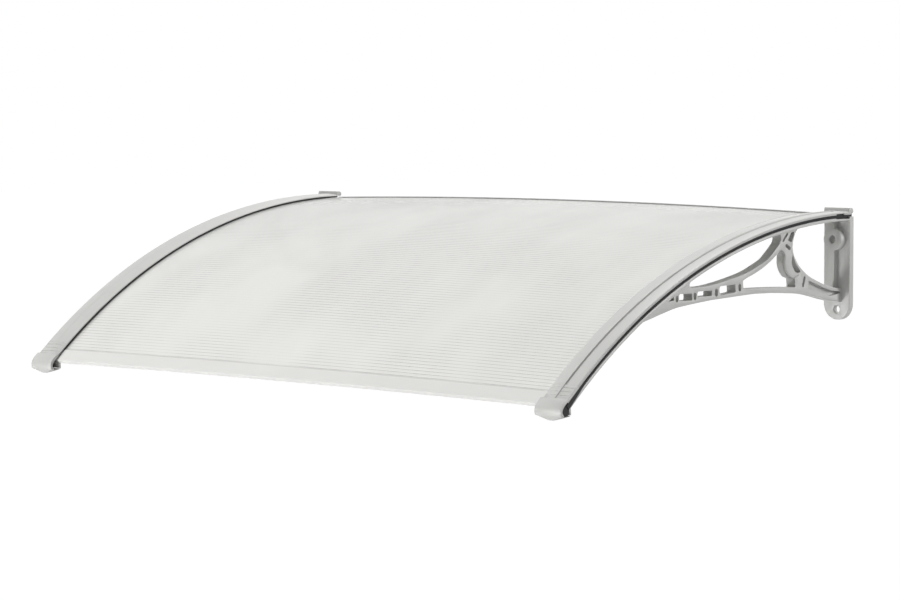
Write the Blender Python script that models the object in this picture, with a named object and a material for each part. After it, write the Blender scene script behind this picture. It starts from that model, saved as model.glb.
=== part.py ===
"""Arched door canopy: a twin-wall sheet clamped between two moulded wall brackets.

Metres. The wall is the plane Y = 0 and the canopy reaches out towards -Y. X = 0 is its middle, +Z is up,
and Z = 0 is the level of the arch line at the wall. The right bracket is at +X and the left one mirrors it.
Places on the arch are given as a length along it from its crown and a depth below it.
"""
import math
import bmesh
import bpy
from mathutils import Matrix, Vector

# Driving dimensions
WIDTH = 1.200            # over the outer edges of the cover strips
ARCH_R = 0.941           # radius of the arch line
ARCH_AHEAD = 0.0013      # crown of the arch in front of the wall
ARM = 0.7060             # length of the bracket's flange along the arch
SIDE_W = 0.0495          # width of bracket, strip and wall plate
CLEAR = 0.0003           # gap between pieces that touch

SHEET_T = 0.0040         # whole twin-wall sheet
SHEET_SKIN = 0.0005      # each skin and each web
FLUTE = 0.0065           # spacing of the webs
CROWN_REAR = 0.0094      # rise of the sheet in the middle, at the wall
CROWN_FRONT = 0.0036     # and at the front edge
CROWN_PARTS = 4          # straight parts across the width

FLANGE_LOW = 0.0071      # underside of the flange, below the arch line
SEAT = 0.0044            # where the sheet lies on the flange
RIM_TOP = 0.0025         # top of the flange's outer rim
RIM_W = 0.0030
OPEN_REAR = 0.042        # length at the wall with no rim and no lip

LATTICE_W = 0.0174       # thickness of the pierced arm
PLATE_T = 0.0093         # wall plate
PLATE_W = 0.0505
PLATE_DROP = 0.1612      # from the arch line to the plate's lowest point
BOSS_R = 0.0171
BOSS_OUT = 0.0201        # front of the boss, from the wall
BOSS_DROP = 0.0368
RIB_W = 0.0030
RIB_OUT = 0.0175
ANCHOR_R = 0.0064
LOW_HOLE_DROP = 0.1449

STRIP_LOW = 0.0040       # underside of the cover strip above the arch line
STRIP_LIP = 0.0023       # lower edge of its outer lip
STRIP_IN = 0.0058        # top at its inner edge
STRIP_MID = 0.0081       # top at the step
STRIP_STEP = 0.0012
STRIP_OUT = 0.0063       # top at its outer edge
STEP_AT = 0.0255         # the step, from the inner edge
LINE_W = 0.0012          # bottom of the groove along the strip at its step
LINE_SLOPE = 0.0028      # its outer side rises over this width
LINE_DEEP = 0.0013
CAP_BACK = 0.0352        # the front cap begins this far behind the flange's end
CAP_JOIN = 0.0045        # and its flat part ends this far behind it
GROOVES = 3
GROOVE_FIRST = 0.0052    # from the cap's beginning to the first groove
GROOVE_PITCH = 0.0075
GROOVE_W = 0.0011
NOSE_WIDER = 0.0015      # the nose stands this far inside the strip's inner edge
REAR_CAP_L = 0.0222
REAR_CAP_STEP = 0.0106   # its raised block begins this far from the wall
REAR_CAP_TOP = 0.0120
REAR_CAP_LOW = 0.0018    # lower edge of its outer side

PROFILE_AHEAD = 0.0010   # face of the front edging, past the flange's end
PROFILE_L = 0.0243
PROFILE_T = 0.0015
SEAL_L = 0.0090
SEAL_T = 0.0012

SCREW_AT = (0.240, 0.370, 0.500, 0.630)
SCREW_R = 0.0017
SCREW_HEAD_R = 0.0033
SCREW_HEAD_H = 0.0020
SCREW_OFF = 0.00085      # screw head clear of the arm

ARC_STEPS = 34

# Values that follow from them
XO = WIDTH / 2
XI = XO - SIDE_W
XM = XO - SIDE_W / 2
XP = XO - PLATE_W / 2
YC = -ARCH_AHEAD
ZC = -math.sqrt(ARCH_R ** 2 - ARCH_AHEAD ** 2)
SCREW_X = XM + LATTICE_W / 2 + SCREW_OFF + SCREW_HEAD_R
SHEET_HALF = SCREW_X - SCREW_R - 2 * CLEAR
GASKET_IN = SCREW_X + SCREW_R + 2 * CLEAR
WALL_S = -ARCH_AHEAD     # the wall plane, along the arch
CAP_FROM = ARM - CAP_BACK
PROFILE_FRONT = ARM + PROFILE_AHEAD
KS = ARM / 0.7060        # the drawn outlines follow the arm's length
KD = PLATE_DROP / 0.1612  # and the plate's height


def on_arch(s, d):
    """(Y, Z) at a length s along the arch and a depth d below it."""
    a = s / ARCH_R
    return (YC - (ARCH_R - d) * math.sin(a), ZC + (ARCH_R - d) * math.cos(a))


def crown(x, s):
    """Rise of the sheet at x, straight between the stations across its width."""
    mid = CROWN_REAR + (CROWN_FRONT - CROWN_REAR) * min(max(s / PROFILE_FRONT, 0), 1)
    u = min(abs(x) / SHEET_HALF, 1) * CROWN_PARTS / 2
    low = math.floor(u)
    at = [1 - (2 * k / CROWN_PARTS) ** 2 for k in (low, low + 1)]
    return mid * (at[0] + (max(at[1], 0) - at[0]) * (u - low))


# Scene
for old in list(bpy.data.objects):
    bpy.data.objects.remove(old, do_unlink=True)
scene = bpy.context.scene
parts = bpy.data.collections.new("door_canopy")
cutters = bpy.data.collections.new("cutters")
scene.collection.children.link(parts)
scene.collection.children.link(cutters)


def material(name, rgba, rough, metal=0.0):
    m = bpy.data.materials.new(name)
    m.use_nodes = True
    b = m.node_tree.nodes["Principled BSDF"]
    b.inputs["Base Color"].default_value = rgba
    b.inputs["Roughness"].default_value = rough
    b.inputs["Metallic"].default_value = metal
    b.inputs["Alpha"].default_value = rgba[3]
    return m


def finish(obj, mat):
    """Weld, turn the faces outward, give the piece its own material and keep it."""
    bm = bmesh.new()
    bm.from_mesh(obj.data)
    bmesh.ops.remove_doubles(bm, verts=bm.verts, dist=0.00002)
    bmesh.ops.recalc_face_normals(bm, faces=bm.faces)
    bm.to_mesh(obj.data)
    bm.free()
    obj.data.materials.clear()
    obj.data.materials.append(material(obj.name, *mat))
    if obj.name not in parts.objects:
        parts.objects.link(obj)
    return obj


def flat(name, loops, lo, hi, plane="YZ"):
    """Closed outlines, the first one solid and the rest holes, between two depths."""
    cu = bpy.data.curves.new(name, "CURVE")
    cu.dimensions = "2D"
    cu.fill_mode = "BOTH"
    cu.resolution_u = 1
    cu.render_resolution_u = 0
    cu.extrude = (hi - lo) / 2
    for loop in loops:
        sp = cu.splines.new("POLY")
        sp.points.add(len(loop) - 1)
        sp.use_cyclic_u = True
        for p, (a, b) in zip(sp.points, loop):
            p.co = (a, b, 0, 1)
    ob = bpy.data.objects.new(name, cu)
    cutters.objects.link(ob)
    bpy.context.view_layer.update()
    me = bpy.data.meshes.new_from_object(ob.evaluated_get(bpy.context.evaluated_depsgraph_get()))
    bpy.data.objects.remove(ob, do_unlink=True)
    mid = (lo + hi) / 2
    if plane == "YZ":
        m = Matrix(((0, 0, 1, mid), (1, 0, 0, 0), (0, 1, 0, 0), (0, 0, 0, 1)))
    else:
        m = Matrix(((1, 0, 0, 0), (0, 0, -1, mid), (0, 1, 0, 0), (0, 0, 0, 1)))
    me.transform(m)
    bm = bmesh.new()
    bm.from_mesh(me)
    bmesh.ops.remove_doubles(bm, verts=bm.verts, dist=0.00002)
    bmesh.ops.recalc_face_normals(bm, faces=bm.faces)
    bm.to_mesh(me)
    bm.free()
    return bpy.data.objects.new(name, me)


def sweep(name, section, s0, s1, steps):
    """A section of (X, height above the arch line) turned along the arch from s0 to s1."""
    bm = bmesh.new()
    vs = []
    for x, h in section:
        y, z = on_arch(s0, -h)
        vs.append(bm.verts.new((x, y, z)))
    face = bm.faces.new(vs)
    bmesh.ops.spin(bm, geom=[face] + list(face.edges) + vs, cent=(0, YC, ZC), axis=(1, 0, 0),
                   angle=(s1 - s0) / ARCH_R, steps=steps, use_duplicate=False)
    bmesh.ops.remove_doubles(bm, verts=bm.verts, dist=0.00002)
    bmesh.ops.recalc_face_normals(bm, faces=bm.faces)
    me = bpy.data.meshes.new(name)
    bm.to_mesh(me)
    bm.free()
    return bpy.data.objects.new(name, me)


def rod(name, x, y, z, r, length, axis, segments=20):
    """A round bar with its middle at (x, y, z), along the given direction."""
    bm = bmesh.new()
    bmesh.ops.create_cone(bm, cap_ends=True, segments=segments, radius1=r, radius2=r, depth=length)
    q = Vector((0, 0, 1)).rotation_difference(Vector(axis))
    bmesh.ops.transform(bm, matrix=Matrix.Translation((x, y, z)) @ q.to_matrix().to_4x4(), verts=bm.verts)
    me = bpy.data.meshes.new(name)
    bm.to_mesh(me)
    bm.free()
    return bpy.data.objects.new(name, me)


def box(name, x0, x1, y0, y1, z0, z1):
    bm = bmesh.new()
    bmesh.ops.create_cube(bm, size=1)
    size = Matrix.Diagonal((x1 - x0, y1 - y0, z1 - z0, 1))
    bmesh.ops.transform(bm, matrix=Matrix.Translation(((x0 + x1) / 2, (y0 + y1) / 2, (z0 + z1) / 2)) @ size,
                        verts=bm.verts)
    me = bpy.data.meshes.new(name)
    bm.to_mesh(me)
    bm.free()
    return bpy.data.objects.new(name, me)


def combine(base, others, how):
    """Boolean modifiers, evaluated, with the other solids kept as hidden cutters."""
    cutters.objects.link(base)
    for o in others:
        cutters.objects.link(o)
        o.display_type = "WIRE"
        o.hide_render = True
        mod = base.modifiers.new(how.lower(), "BOOLEAN")
        mod.operation = how
        mod.solver = "EXACT"
        mod.object = o
    bpy.context.view_layer.update()
    me = bpy.data.meshes.new_from_object(base.evaluated_get(bpy.context.evaluated_depsgraph_get()))
    name = base.name
    base.name = name + "_blank"
    base.display_type = "WIRE"
    base.hide_render = True
    base.modifiers.clear()
    me.name = name
    bm = bmesh.new()
    bm.from_mesh(me)
    bmesh.ops.remove_doubles(bm, verts=bm.verts, dist=0.000005)
    bmesh.ops.dissolve_limit(bm, angle_limit=math.radians(0.05), verts=bm.verts, edges=bm.edges)
    bm.to_mesh(me)
    bm.free()
    return bpy.data.objects.new(name, me)


def mirrored(obj, name, mat):
    me = obj.data.copy()
    me.transform(Matrix.Scale(-1, 4, (1, 0, 0)))
    me.flip_normals()
    return finish(bpy.data.objects.new(name, me), mat)


def smooth(pts, n=2, corners=()):
    """A closed outline through the points, rounded except at the named corners."""
    out = []
    count = len(pts)
    for i in range(count):
        p0, p1, p2, p3 = (Vector(pts[(i + k) % count]) for k in (-1, 0, 1, 2))
        if i in corners:
            p0 = p1
        if (i + 1) % count in corners:
            p3 = p2
        for j in range(n):
            t = j / n
            out.append(tuple(0.5 * ((2 * p1) + (p2 - p0) * t + (2 * p0 - 5 * p1 + 4 * p2 - p3) * t * t
                                    + (3 * p1 - p0 - 3 * p2 + p3) * t ** 3)))
    return out


def place(pts):
    """Drawn outline points, in mm along and below the arch, to (Y, Z)."""
    return [on_arch(s * KS / 1000, d * KD / 1000) for s, d in pts]


def slot(p, q, half, ends=4):
    """A narrow round-ended slot between two drawn points."""
    p, q = Vector(p), Vector(q)
    along = (q - p).normalized()
    side = Vector((-along.y, along.x))
    out = []
    for c, sign in ((q, 1), (p, -1)):
        for k in range(ends + 1):
            a = math.pi * k / ends
            out.append(tuple(c + half * sign * (math.cos(a) * -side + math.sin(a) * along)))
    return out


PLASTIC = ((0.56, 0.57, 0.55, 1), 0.45)
RUBBER = ((0.02, 0.02, 0.02, 1), 0.8)
SHEET = ((0.86, 0.88, 0.88, 0.45), 0.2)
CLEARISH = ((0.86, 0.87, 0.86, 0.8), 0.3)
SEAL = ((0.25, 0.26, 0.27, 1), 0.6)
STEEL = ((0.6, 0.6, 0.62, 1), 0.3, 1.0)

# Pierced arm: its outline, then its openings, drawn in mm along and below the arch
ARM_TOP = (FLANGE_LOW + SEAT) / 2 * 1000 / KD
outline = [(5, 112.6), (19.2, 111.7), (39.4, 107.6), (55.4, 103.4), (64.3, 99.9), (78.9, 94.0), (90.3, 88.7),
           (101.5, 82.0), (110.5, 74.9), (119.3, 66.4), (125.0, 58.0), (129.1, 50.4), (131.0, 43.4),
           (131.4, 36.7), (130.0, 30.1), (126.6, 22.9), (121.9, 15.8), (116.0, 10.5), (108.0, ARM_TOP)]
outline += [(s, ARM_TOP) for s in range(160, 531, 37)]
outline += [(540.0, ARM_TOP), (530.1, 7.4), (510.2, 13.3), (482.8, 20.9), (454.8, 27.9), (431.2, 33.4),
            (417.4, 37.0), (390.0, 45.6), (343.7, 58.9), (297.0, 71.7), (258.6, 80.4), (239.2, 84.4),
            (200.4, 93.1), (175.9, 98.5), (151.4, 103.7), (126.4, 108.4), (101.4, 113.5), (76.3, 120.1),
            (56.0, 125.5), (30.0, 131.0), (5, 134.0)]
LENS_TOP = FLANGE_LOW * 1000 / KD + 0.6
lens = [(379.8, 18.2), (377.2, 23.9), (362.5, 29.8), (341.9, 36.8), (313.9, 42.7), (294.8, 45.4),
        (275.4, 47.5), (256.0, 48.8), (236.0, 48.6), (215.8, 46.2), (195.6, 43.0), (185.0, 38.4),
        (174.3, 33.0), (163.6, 26.8), (158.2, 22.2), (156.2, 16.2), (159.5, LENS_TOP)]
lens += [(s, LENS_TOP) for s in (200, 240, 280, 320, 360)]
trap = [(160.4, 34.2), (174.2, 41.4), (190.0, 47.2), (210.7, 52.4), (231.2, 55.2), (251.4, 56.4),
        (259.0, 57.5), (260.9, 59.5), (262.4, 68.4), (260.0, 70.5), (236.9, 76.3), (198.5, 84.9),
        (151.7, 94.2), (134.4, 97.2), (132.8, 95.5), (132.3, 86.3), (134.4, 83.4), (141.9, 80.2),
        (148.4, 72.8), (151.9, 64.2), (152.6, 55.9), (150.7, 48.0), (150.9, 43.1), (154.6, 37.6)]
crescent = [(131.6, 47.4), (136.4, 55.8), (136.0, 64.2), (131.3, 72.7), (124.9, 77.4), (119.3, 77.2),
            (116.8, 74.4), (125.5, 63.8), (130.3, 54.2)]
crease = [(156.5, 38.6), (152.6, 43.6), (152.4, 48.0), (154.4, 55.9), (153.7, 64.8), (149.9, 73.8),
          (142.8, 81.9), (135.0, 85.2), (133.6, 81.6), (140.8, 78.6), (146.8, 71.8), (150.1, 63.6),
          (150.8, 56.0), (148.8, 48.2), (149.0, 42.8), (153.0, 36.6)]
windows = [
    smooth(lens, 2, (16, 17, 18, 19, 20)),
    smooth(trap, 2, (0,)),
    smooth(crescent, 2),
    [(131.4, 13.4), (123.8, 13.2), (125.7, 18.9), (128.9, 24.0), (133.8, 28.5), (141.0, 23.5)],
    slot((141.0, 13.8), (152.0, 22.6), 1.9),
    slot((145.6, 31.2), (138.9, 36.6), 2.8),
    slot((106.8, 86.6), (112.2, 98.3), 2.6),
    [(433.0, 19.4), (419.0, 18.2), (420.6, 24.0)],
    slot((412.9, 22.9), (415.0, 26.9), 2.8),
    slot((374.2, 36.9), (376.2, 41.7), 3.2),
    slot((325.6, 50.9), (327.6, 55.9), 3.6),
    slot((270.0, 62.5), (271.6, 67.7), 3.4),
    [(407.2, 22.0), (408.9, 24.6), (410.0, 28.2), (408.6, 31.0), (384.6, 41.2), (383.0, 40.8), (379.9, 33.4),
     (380.4, 32.0), (404.6, 21.4)],
    [(367.6, 36.6), (369.2, 38.8), (370.0, 41.4), (368.6, 43.2), (339.4, 53.6), (337.8, 53.0), (335.3, 47.4),
     (336.0, 46.2), (365.2, 35.8)],
    [(317.0, 49.4), (318.8, 53.0), (319.6, 58.8), (317.6, 61.4), (284.0, 68.4), (282.2, 67.6), (279.9, 58.0),
     (280.8, 56.8), (314.4, 48.0)],
]
pocket = smooth([(96.7, 92.6), (79.5, 99.0), (59.5, 107.0), (36.6, 114.0), (11.6, 117.0), (12.0, 119.6),
                 (39.5, 122.0), (60.3, 117.0), (79.1, 112.4), (98.6, 107.5)], 1)
lattice = flat("bracket_right", [place(outline)] + [place(w) for w in windows],
               XM - LATTICE_W / 2, XM + LATTICE_W / 2)

# Saddle flange with its outer rim
flange = sweep("flange", [(XI, -FLANGE_LOW), (XO - 0.0006, -FLANGE_LOW), (XO, -FLANGE_LOW + 0.0006),
                          (XO, -RIM_TOP), (XO - RIM_W, -RIM_TOP), (XO - RIM_W, -SEAT), (XI, -SEAT)],
               WALL_S + PLATE_T / 2, ARM, ARC_STEPS)
toe = flat("toe", [[on_arch(ARM - 0.006, FLANGE_LOW - 0.002), on_arch(ARM - 0.0007, FLANGE_LOW - 0.002),
                    on_arch(ARM + 0.0041, FLANGE_LOW + 0.0062), on_arch(ARM + 0.0024, FLANGE_LOW + 0.0082)]],
           XI + 0.0008, XO - 0.0008)

# Wall plate, rounded below, with its boss, ribs and outer lug
plate_low = -PLATE_DROP + PLATE_W / 2
plate_top = -SEAT
arc = [(XP + PLATE_W / 2 * math.cos(a), plate_low + PLATE_W / 2 * math.sin(a))
       for a in (-math.pi * k / 20 for k in range(21))]
plate = flat("plate", [[(XP - PLATE_W / 2, plate_top), (XO, plate_top)] + arc], -PLATE_T, 0, "XZ")
bm = bmesh.new()
bm.from_mesh(plate.data)
front = [e for e in bm.edges if all(abs(v.co.y + PLATE_T) < 1e-5 for v in e.verts)
         and not all(abs(v.co.z - plate_top) < 1e-5 for v in e.verts) and len(e.link_faces) == 2
         and e.calc_face_angle(0) > 0.5]
bmesh.ops.bevel(bm, geom=front, offset=0.0012, segments=2, profile=0.5, affect="EDGES")
bm.to_mesh(plate.data)
bm.free()
lug = box("lug", XO - 0.0095, XO - 0.0001, -PLATE_T + 0.0002, -0.0002, -SEAT - 0.002, -0.0012)
boss = rod("boss", XP, -(BOSS_OUT + PLATE_T / 2) / 2, -BOSS_DROP, BOSS_R, BOSS_OUT - PLATE_T / 2, (0, 1, 0), 36)
rib = box("rib", XP - RIB_W / 2, XP + RIB_W / 2, -RIB_OUT, -PLATE_T / 2, -0.118 * KD, -BOSS_DROP - BOSS_R * 0.8)
upper = box("upper_rib", XP - RIB_W / 2, XP + RIB_W / 2, -BOSS_OUT + 0.0003, -PLATE_T / 2,
            -BOSS_DROP + BOSS_R * 0.6, -FLANGE_LOW + 0.0006)
body = combine(lattice, [flange, toe, plate, lug, boss, rib, upper], "UNION")

web = 0.0036
cuts = [flat("pocket_a", [place(pocket)], XM + web / 2, XM + LATTICE_W),
        flat("pocket_b", [place(pocket)], XM - LATTICE_W, XM - web / 2),
        flat("crease_wall", [place(crease)], XM + LATTICE_W / 2 - 0.0056, XM + LATTICE_W / 2 - 0.0042),
        flat("crease_face", [place(slot((134.6, 82.9), (122.4, 80.4), 0.75))], XM + LATTICE_W / 2 - 0.0015,
             XM + LATTICE_W),
        rod("anchor_up", XP, -BOSS_OUT / 2, -BOSS_DROP, ANCHOR_R, BOSS_OUT * 2, (0, 1, 0), 28),
        rod("anchor_low", XP, -PLATE_T / 2, -LOW_HOLE_DROP, ANCHOR_R, PLATE_T * 3, (0, 1, 0), 28),
        box("rim_end", XO - RIM_W - 0.001, XO + 0.01, -OPEN_REAR, -PLATE_T, -SEAT, 0.02)]
for k, s in enumerate(SCREW_AT):
    y, z = on_arch(s * KS, FLANGE_LOW)
    cuts.append(rod("pilot_%d" % k, SCREW_X, y, z, SCREW_R + CLEAR, 0.02, (0, y - YC, z - ZC), 12))
body.name = "bracket_right"
bracket = finish(combine(body, cuts, "DIFFERENCE"), PLASTIC)
mirrored(bracket, "bracket_left", PLASTIC)

# Cover strip
line_low = STRIP_MID - STRIP_STEP - LINE_DEEP
before = [(XI, STRIP_LOW), (XI, STRIP_IN - 0.0006), (XI + 0.0008, STRIP_IN)]
after = [(XO - 0.0022, STRIP_OUT + 0.0002), (XO - 0.0007, STRIP_OUT - 0.0005), (XO, STRIP_OUT - 0.0018),
         (XO, STRIP_LIP), (XO - RIM_W, STRIP_LIP), (XO - RIM_W, STRIP_LOW)]
strip_section = before + [(XI + STEP_AT - LINE_W / 2 - 0.0002, STRIP_MID), (XI + STEP_AT - LINE_W / 2, line_low),
                          (XI + STEP_AT + LINE_W / 2, line_low),
                          (XI + STEP_AT + LINE_W / 2 + LINE_SLOPE, STRIP_MID - STRIP_STEP - 0.0001)] + after
cap_section = before + [(XI + STEP_AT - 0.0006, STRIP_MID), (XI + STEP_AT, STRIP_MID - STRIP_STEP)] + after
rear_s = WALL_S + REAR_CAP_L + 2 * CLEAR
strip = sweep("cover_strip_right", strip_section, rear_s, CAP_FROM, ARC_STEPS)
lip_cut = box("lip_end", XO - RIM_W - 0.001, XO + 0.01, -OPEN_REAR, 0.001, -0.003, STRIP_LOW)
pilots = []
for k, s in enumerate(SCREW_AT):
    y, z = on_arch(s * KS, -STRIP_LOW + 0.0002)
    pilots.append(rod("strip_pilot_%d" % k, SCREW_X, y, z, SCREW_R + CLEAR, 0.0036, (0, y - YC, z - ZC), 12))
strip = finish(combine(strip, [lip_cut] + pilots, "DIFFERENCE"), PLASTIC)
mirrored(strip, "cover_strip_left", PLASTIC)

# Front cap: the same section with cross grooves, then a hooked nose
cap_end = ARM - CAP_JOIN
cap = sweep("front_cap_right", cap_section, CAP_FROM + CLEAR, cap_end, 6)
nose_mm = [(-7.0, -4.0), (-7.0, -8.3), (2.0, -9.0), (9.7, -8.0), (15.1, -4.9), (18.7, 0.6),
           (20.0, 7.0), (19.2, 10.6), (13.1, 14.0), (6.2, 15.6), (4.9, 14.4), (5.2, 13.0), (10.6, 10.6),
           (14.2, 7.4), (13.5, 0.1), (10.3, -3.1), (3.5, -4.5)]
nose = flat("nose", [smooth([on_arch(ARM + s / 1000, d / 1000) for s, d in nose_mm], 2, (0, 1))],
            XI - NOSE_WIDER, XO)
tip_y, tip_z = on_arch(ARM + 0.0180, 0.0116)
vee = [flat("vee_%s" % tag, [[(XM + side * 0.004, tip_z), (XM + side * 0.05, tip_z + 0.0148),
                              (XM + side * 0.05, tip_z - 0.03), (XM + side * 0.004, tip_z - 0.03)]],
            tip_y - 0.03, tip_y + 0.03, "XZ") for tag, side in (("a", -1), ("b", 1))]
grooves = []
for k in range(GROOVES):
    s = CAP_FROM + GROOVE_FIRST + k * GROOVE_PITCH
    grooves.append(sweep("groove_%d" % k, [(XI - 0.01, STRIP_IN - 0.0009), (XI + STEP_AT - 0.0018, STRIP_MID - 0.0009),
                                           (XI + STEP_AT - 0.0018, 0.02), (XI - 0.01, 0.02)],
                         s, s + GROOVE_W, 1))
    grooves.append(sweep("groove_out_%d" % k, [(XI + STEP_AT + 0.001, STRIP_MID - STRIP_STEP - 0.0009),
                                               (XO - 0.003, STRIP_OUT - 0.0007), (XO - 0.003, 0.02),
                                               (XI + STEP_AT + 0.001, 0.02)],
                         s, s + GROOVE_W, 1))
cap = combine(cap, [nose], "UNION")
cap = finish(combine(cap, vee + grooves, "DIFFERENCE"), PLASTIC)
mirrored(cap, "front_cap_left", PLASTIC)

# Rear cap at the wall
rear_mm = [(REAR_CAP_STEP + 0.0002, STRIP_LOW + 0.0003), (REAR_CAP_STEP + 0.0002, STRIP_MID - 0.0010),
           (REAR_CAP_STEP - 0.0006, REAR_CAP_TOP - 0.0010), (REAR_CAP_STEP - 0.0016, REAR_CAP_TOP),
           (0.0056, REAR_CAP_TOP), (0.0030, REAR_CAP_TOP - 0.0007), (0.0012, REAR_CAP_TOP - 0.0026),
           (0.0006, 0.0074), (0.0010, 0.0056), (0.0022, STRIP_LOW + 0.0003)]
raised = flat("rear_cap_right", [smooth([on_arch(WALL_S + a, -h) for a, h in rear_mm], 2, (0, 1, 9))],
              XI + 0.0002, XO - 0.0002)
level = sweep("rear_cap_level", cap_section[:-3] + [(XO, STRIP_LOW)], WALL_S + REAR_CAP_STEP - 0.0012,
              WALL_S + REAR_CAP_L, 1)
side_mm = [(REAR_CAP_L - 0.0004, STRIP_LOW + 0.0008), (REAR_CAP_L - 0.0004, REAR_CAP_LOW), (0.0080, REAR_CAP_LOW),
           (0.0048, 0.0026), (0.0028, STRIP_LOW + 0.0001), (0.0028, STRIP_LOW + 0.0012)]
side = flat("rear_cap_side", [[on_arch(WALL_S + a, -h) for a, h in side_mm]], XO - RIM_W, XO - 0.0004)
rear = finish(combine(raised, [level, side], "UNION"), PLASTIC)
mirrored(rear, "rear_cap_left", PLASTIC)

# Gaskets
g0 = WALL_S + PLATE_T + 2 * CLEAR
gasket = sweep("side_gasket_right", [(GASKET_IN, -SEAT + CLEAR), (XO - RIM_W - CLEAR, -SEAT + CLEAR),
                                     (XO - RIM_W - CLEAR, STRIP_LOW - CLEAR), (GASKET_IN, STRIP_LOW - CLEAR)],
               g0, ARM - 0.0010, ARC_STEPS)
gasket_end = box("gasket_end", GASKET_IN, XO - RIM_W - CLEAR, -PLATE_T - 0.0020, -0.0006, -0.0008,
                 STRIP_LOW - CLEAR - 0.0001)
gasket = finish(combine(gasket, [gasket_end], "UNION"), RUBBER)
mirrored(gasket, "side_gasket_left", RUBBER)
rise = crown(XI, 0) + 2 * CLEAR
lip = sweep("lip_gasket_right", [(XI + CLEAR, rise), (XI + 0.0042, rise), (XI + 0.0042, STRIP_LOW - CLEAR),
                                 (XI + CLEAR, STRIP_LOW - CLEAR)],
            g0, PROFILE_FRONT - PROFILE_L - 0.001, ARC_STEPS)
lip = finish(lip, RUBBER)
mirrored(lip, "lip_gasket_left", RUBBER)


def crowned(obj, mat):
    """Cut the piece at the stations across its width and lift it to the crown."""
    bm = bmesh.new()
    bm.from_mesh(obj.data)
    for k in range(1, CROWN_PARTS):
        x = SHEET_HALF * (2 * k / CROWN_PARTS - 1)
        bmesh.ops.bisect_plane(bm, geom=bm.verts[:] + bm.edges[:] + bm.faces[:], dist=1e-6,
                               plane_co=(x, 0, 0), plane_no=(1, 0, 0))
    for v in bm.verts:
        s = ARCH_R * math.atan2(-(v.co.y - YC), v.co.z - ZC)
        v.co.z += crown(v.co.x, s)
    bm.to_mesh(obj.data)
    bm.free()
    return finish(obj, mat)


# Twin-wall sheet
s_rear = WALL_S + SEAL_T + 3 * CLEAR
s_front = PROFILE_FRONT - PROFILE_T - 2 * CLEAR
cells = int((s_front - s_rear) / FLUTE)
pitch = (s_front - s_rear) / cells
steps = cells // 2
top = [on_arch(s_rear + (s_front - s_rear) * k / steps, 0) for k in range(steps + 1)]
low = [on_arch(s_rear + (s_front - s_rear) * k / steps, SHEET_T) for k in range(steps + 1)]
loops = [top + low[::-1]]
for k in range(cells):
    a = s_rear + pitch * k + SHEET_SKIN / 2
    b = s_rear + pitch * (k + 1) - SHEET_SKIN / 2
    if k == 0:
        a += SHEET_SKIN / 2
    if k == cells - 1:
        b -= SHEET_SKIN / 2
    loops.append([on_arch(a, SHEET_SKIN), on_arch(b, SHEET_SKIN),
                  on_arch(b, SHEET_T - SHEET_SKIN), on_arch(a, SHEET_T - SHEET_SKIN)])
crowned(flat("sheet", loops, -SHEET_HALF, SHEET_HALF), SHEET)

# Edging on the sheet's front edge, between the brackets
half = XI - NOSE_WIDER - 2 * CLEAR
over = PROFILE_T + CLEAR
under = SHEET_T + CLEAR
back = PROFILE_FRONT - PROFILE_L


def along(s_from, s_to, d, count=3):
    return [on_arch(s_from + (s_to - s_from) * k / count, d) for k in range(count + 1)]


edging = along(back, PROFILE_FRONT - 0.0008, -over) + [on_arch(PROFILE_FRONT, -over + 0.0008)]
edging += [on_arch(PROFILE_FRONT, under + PROFILE_T - 0.0008)]
edging += along(PROFILE_FRONT - 0.0008, back + 0.008, under + PROFILE_T, 2)
edging += along(back + 0.008, PROFILE_FRONT - PROFILE_T, under, 2)
edging += along(PROFILE_FRONT - PROFILE_T, back, -CLEAR)
crowned(flat("front_profile", [edging], -half, half), CLEARISH)

# Seal on the sheet's wall edge
seal_s = WALL_S + 0.0002
seal = along(seal_s, seal_s + SEAL_L, -SEAL_T - CLEAR, 1) + along(seal_s + SEAL_L, seal_s + SEAL_T, -CLEAR, 1)
seal += along(seal_s + SEAL_T, seal_s + SEAL_L, under, 1) + along(seal_s + SEAL_L, seal_s, under + SEAL_T, 1)
seal_half = XO - PLATE_W - CLEAR
crowned(flat("rear_seal", [seal], -seal_half, seal_half), SEAL)

# Clamp screws
for k, s in enumerate(SCREW_AT):
    up = Vector((0, -math.sin(s * KS / ARCH_R), math.cos(s * KS / ARCH_R)))
    hole_top = STRIP_LOW - 0.0002 + 0.0018
    tip = hole_top - CLEAR
    y, z = on_arch(s * KS, FLANGE_LOW + CLEAR + SCREW_HEAD_H / 2)
    head = rod("clamp_screw_right_%d" % (k + 1), SCREW_X, y, z, SCREW_HEAD_R, SCREW_HEAD_H, up, 16)
    low_d = FLANGE_LOW + CLEAR + SCREW_HEAD_H / 2
    y, z = on_arch(s * KS, (low_d - tip) / 2)
    shank = rod("shank", SCREW_X, y, z, SCREW_R, low_d + tip, up, 12)
    screw = combine(head, [shank], "UNION")
    y, z = on_arch(s * KS, FLANGE_LOW + CLEAR + SCREW_HEAD_H)
    cross = [box("cross_a", -0.0018, 0.0018, -0.00045, 0.00045, -0.0009, 0.0009),
             box("cross_b", -0.00045, 0.00045, -0.0018, 0.0018, -0.0009, 0.0009)]
    for c in cross:
        q = Vector((0, 0, 1)).rotation_difference(up)
        c.data.transform(Matrix.Translation((SCREW_X, y, z)) @ q.to_matrix().to_4x4())
    screw = finish(combine(screw, cross, "DIFFERENCE"), STEEL)
    mirrored(screw, "clamp_screw_left_%d" % (k + 1), STEEL)
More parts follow.
